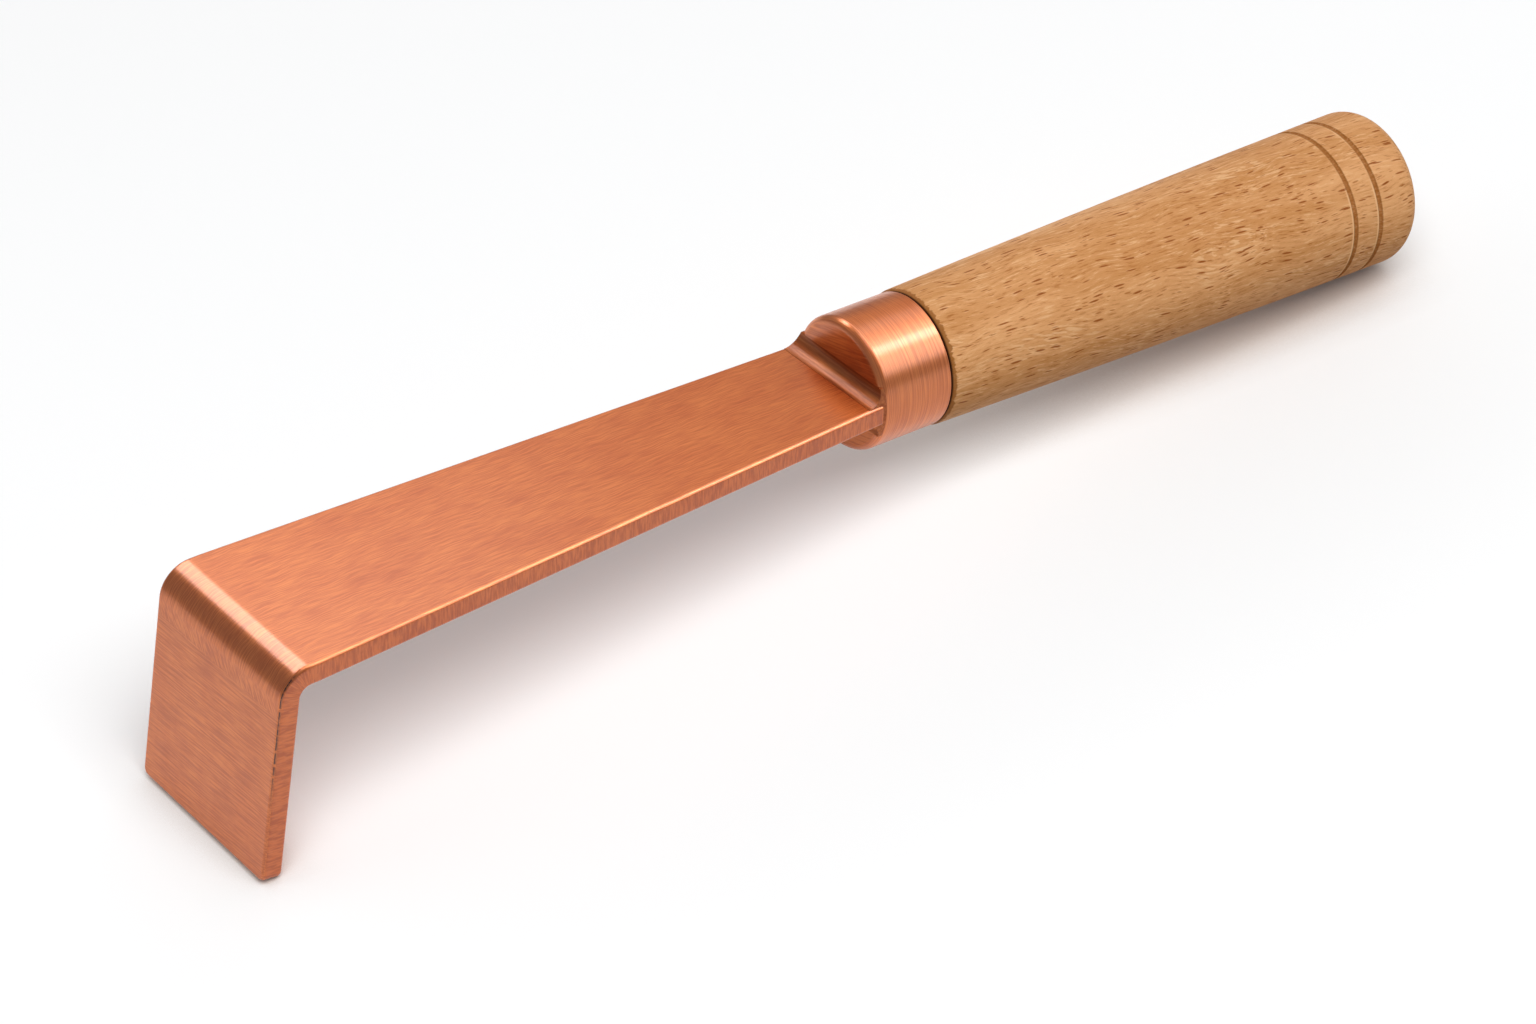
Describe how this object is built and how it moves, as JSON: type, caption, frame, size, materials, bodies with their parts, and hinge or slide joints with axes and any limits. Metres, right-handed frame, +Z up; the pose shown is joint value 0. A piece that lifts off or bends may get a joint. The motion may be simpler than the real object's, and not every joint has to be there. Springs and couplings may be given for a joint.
{
  "type": "deck scraper",
  "caption": "Deck scraper: a flat copper-alloy bar, tapered in plan and bent down into a blade, brazed into a round collar on a turned beech handle.",
  "frame": {"origin": "centre of the tool's footprint, on the surface that it lies on", "axes": "+X from the blade towards the handle's butt, +Y across the blade, +Z up; the tool lies on the blade's edge and the butt"},
  "size_m": [0.3174, 0.0448, 0.0477],
  "materials": {
    "brushed_copper": "brushed copper alloy, fine strokes, satin",
    "braze_copper": "copper-coloured braze, dressed smooth",
    "turned_copper": "turned copper alloy with fine rings, semi-bright",
    "beech": "oiled beech, flecked, satin",
    "beech_plug": "oiled beech, end grain",
    "zinc_steel": "zinc-plated steel"
  },
  "bodies": {
    "root": {"scraper_bar": "brushed_copper", "root_braze": "braze_copper", "collar": "turned_copper", "handle": "beech", "tang_rod": "zinc_steel", "clamp_washer": "zinc_steel", "lock_washer": "zinc_steel", "clamp_nut": "zinc_steel", "butt_plug": "beech_plug"}
  },
  "joints": []
}
